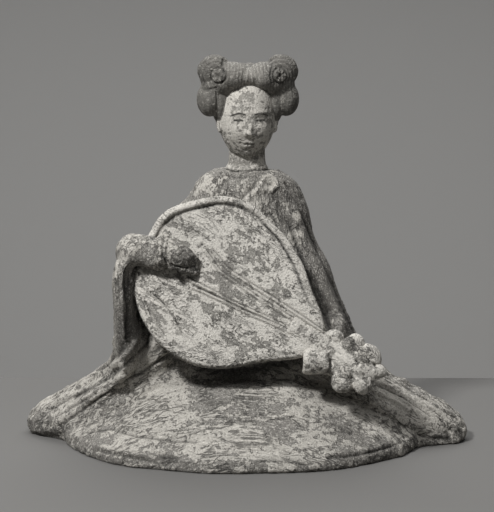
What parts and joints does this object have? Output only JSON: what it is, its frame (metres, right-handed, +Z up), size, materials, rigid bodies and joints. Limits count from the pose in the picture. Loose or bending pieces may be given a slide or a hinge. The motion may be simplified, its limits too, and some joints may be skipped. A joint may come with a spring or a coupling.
{
  "type": "tomb musician figure",
  "caption": "Kneeling robed musician of fired clay who plays a round-bodied lute, with twin hair buns, spread sleeves and a flat foot.",
  "frame": {"origin": "on the underside, at floor level, below the neck", "axes": "+Z up through the figure, the figure faces -Y, and +X runs to the viewer's right along the spread sleeves"},
  "size_m": [0.3125, 0.2048, 0.2701],
  "materials": {
    "body_clay": "matt, worn white slip over grey earthenware",
    "head_clay": "matt, white slip on the face and dark paint on the hair"
  },
  "bodies": {
    "root": {"robed_body_with_lute": "body_clay", "head_with_neck": "head_clay"}
  },
  "joints": []
}
